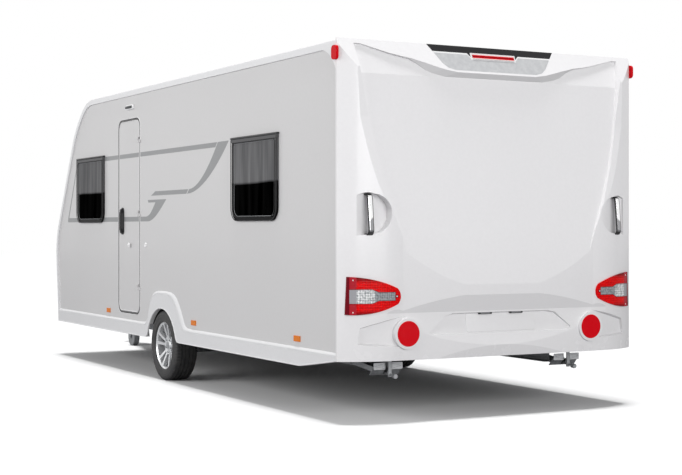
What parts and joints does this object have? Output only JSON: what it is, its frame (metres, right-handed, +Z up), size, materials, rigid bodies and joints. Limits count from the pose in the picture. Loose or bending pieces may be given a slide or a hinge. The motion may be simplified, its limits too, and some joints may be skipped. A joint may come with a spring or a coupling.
{
  "type": "travel caravan",
  "caption": "Single-axle touring caravan with a raked front, moulded rear, side entry door, gas locker, jockey wheel and corner steadies, standing level",
  "frame": {"origin": "on the ground under the centre of the bounding box", "axes": "+X the towing direction, +Y the left side with the entry door, +Z up"},
  "size_m": [7.535, 2.514, 2.615],
  "materials": {
    "white_panel": "gloss",
    "grey_panel": "gloss",
    "black_trim": "satin",
    "grey_plastic": "matte",
    "tinted_pane": "gloss",
    "red_lens": "gloss",
    "amber_lens": "gloss",
    "clear_lens": "gloss",
    "chrome": "polished",
    "galvanised": "spangled",
    "alloy": "satin",
    "iron": "cast",
    "tyre": "matte",
    "wood_board": "satin",
    "fabric": "woven",
    "steel_paint": "gloss",
    "inner_lining": "matte"
  },
  "bodies": {
    "caravan": {"side_wall_left": "grey_panel", "side_wall_right": "grey_panel", "floor_panel": "wood_board", "wheel_housings": "black_trim", "roof_panel": "white_panel", "front_panel": "white_panel", "rear_panel": "white_panel", "tail_lamps": "red_lens", "round_reflectors": "red_lens", "roof_rails": "white_panel", "side_skirts": "white_panel", "wheel_spats": "white_panel", "window_frames": "black_trim", "window_panes": "tinted_pane", "rooflights": "grey_plastic", "wall_vents": "white_panel", "fixed_hinges": "white_panel", "inner_lockers": "inner_lining", "gas_bottles": "steel_paint", "furniture": "wood_board", "seat_cushions": "fabric", "curtains": "fabric", "awning_lamp": "clear_lens", "marker_lamps": "red_lens", "side_reflectors": "amber_lens", "grab_handles": "chrome", "high_level_panel": "black_trim", "brake_lamp": "red_lens", "chassis_rails": "galvanised", "cross_members": "galvanised", "drawbar_arms": "galvanised", "axle": "galvanised", "drawbar_cover": "white_panel", "overrun_housing": "galvanised", "coupling_head": "galvanised", "handbrake_lever": "black_trim", "jockey_tube": "galvanised", "steady_frames": "galvanised"},
    "wheel_left": {"tyre_left": "tyre", "rim_left": "alloy", "brake_drum_left": "iron"},
    "wheel_right": {"tyre_right": "tyre", "rim_right": "alloy", "brake_drum_right": "iron"},
    "entry_door": {"entry_door": "grey_panel", "door_handle": "black_trim"},
    "service_hatch": {"service_hatch": "grey_panel"},
    "gas_locker_lid": {"gas_locker_lid": "white_panel"},
    "jockey_shaft": {"jockey_shaft": "galvanised"},
    "jockey_fork": {"jockey_fork": "galvanised"},
    "jockey_wheel": {"jockey_wheel": "grey_plastic"},
    "steady_leg_rear_left": {"steady_leg_rear_left": "galvanised"},
    "steady_brace_rear_left": {"steady_brace_rear_left": "galvanised"},
    "steady_leg_rear_right": {"steady_leg_rear_right": "galvanised"},
    "steady_brace_rear_right": {"steady_brace_rear_right": "galvanised"},
    "steady_leg_front_left": {"steady_leg_front_left": "galvanised"},
    "steady_brace_front_left": {"steady_brace_front_left": "galvanised"},
    "steady_leg_front_right": {"steady_leg_front_right": "galvanised"},
    "steady_brace_front_right": {"steady_brace_front_right": "galvanised"}
  },
  "joints": [
    {"name": "wheel_left_spin", "type": "hinge", "parent": "caravan", "child": "wheel_left", "pos_m": [-0.439, 1.1075, 0.298], "axis": [0, 1, 0], "continuous": true},
    {"name": "wheel_right_spin", "type": "hinge", "parent": "caravan", "child": "wheel_right", "pos_m": [-0.439, -1.1075, 0.298], "axis": [0, 1, 0], "continuous": true},
    {"name": "entry_door_hinge", "type": "hinge", "parent": "caravan", "child": "entry_door", "pos_m": [0.116, 1.24, 1.4165], "axis": [0, 0, 1], "range_deg": [0, 170]},
    {"name": "service_hatch_hinge", "type": "hinge", "parent": "caravan", "child": "service_hatch", "pos_m": [-2.732, -1.237, 0.74], "axis": [0, 0, 1], "range_deg": [0, 120]},
    {"name": "gas_locker_lid_hinge", "type": "hinge", "parent": "caravan", "child": "gas_locker_lid", "pos_m": [2.54299, 0, 0.94498], "axis": [0, -1, 0], "range_deg": [0, 80]},
    {"name": "jockey_slide", "type": "slide", "parent": "caravan", "child": "jockey_shaft", "axis": [0, 0, 1], "range_m": [-0.06, 0.13]},
    {"name": "jockey_swivel", "type": "hinge", "parent": "jockey_shaft", "child": "jockey_fork", "pos_m": [3.195, 0.16, 0.232], "axis": [0, 0, 1], "continuous": true},
    {"name": "jockey_wheel_spin", "type": "hinge", "parent": "jockey_fork", "child": "jockey_wheel", "pos_m": [3.14, 0.16, 0.1], "axis": [0, 1, 0], "continuous": true},
    {"name": "steady_rear_left_hinge", "type": "hinge", "parent": "caravan", "child": "steady_leg_rear_left", "pos_m": [-2.995, 0.762, 0.36], "axis": [0, -1, 0], "range_deg": [0, 46]},
    {"name": "steady_rear_left_brace_pin", "type": "hinge", "parent": "steady_leg_rear_left", "child": "steady_brace_rear_left", "pos_m": [-3.16407, 0.762, 0.34223], "axis": [0, -1, 0], "range_deg": [-92, 0]},
    {"name": "steady_rear_right_hinge", "type": "hinge", "parent": "caravan", "child": "steady_leg_rear_right", "pos_m": [-2.995, -0.762, 0.36], "axis": [0, -1, 0], "range_deg": [0, 46]},
    {"name": "steady_rear_right_brace_pin", "type": "hinge", "parent": "steady_leg_rear_right", "child": "steady_brace_rear_right", "pos_m": [-3.16407, -0.762, 0.34223], "axis": [0, -1, 0], "range_deg": [-92, 0]},
    {"name": "steady_front_left_hinge", "type": "hinge", "parent": "caravan", "child": "steady_leg_front_left", "pos_m": [1.595, 0.762, 0.36], "axis": [0, 1, 0], "range_deg": [0, 46]},
    {"name": "steady_front_left_brace_pin", "type": "hinge", "parent": "steady_leg_front_left", "child": "steady_brace_front_left", "pos_m": [1.76407, 0.762, 0.34223], "axis": [0, 1, 0], "range_deg": [-92, 0]},
    {"name": "steady_front_right_hinge", "type": "hinge", "parent": "caravan", "child": "steady_leg_front_right", "pos_m": [1.595, -0.762, 0.36], "axis": [0, 1, 0], "range_deg": [0, 46]},
    {"name": "steady_front_right_brace_pin", "type": "hinge", "parent": "steady_leg_front_right", "child": "steady_brace_front_right", "pos_m": [1.76407, -0.762, 0.34223], "axis": [0, 1, 0], "range_deg": [-92, 0]}
  ],
  "couplings": [
    {"joint": "steady_rear_left_brace_pin", "follows": "steady_rear_left_hinge", "ratio": -2},
    {"joint": "steady_rear_right_brace_pin", "follows": "steady_rear_right_hinge", "ratio": -2},
    {"joint": "steady_front_left_brace_pin", "follows": "steady_front_left_hinge", "ratio": -2},
    {"joint": "steady_front_right_brace_pin", "follows": "steady_front_right_hinge", "ratio": -2}
  ]
}
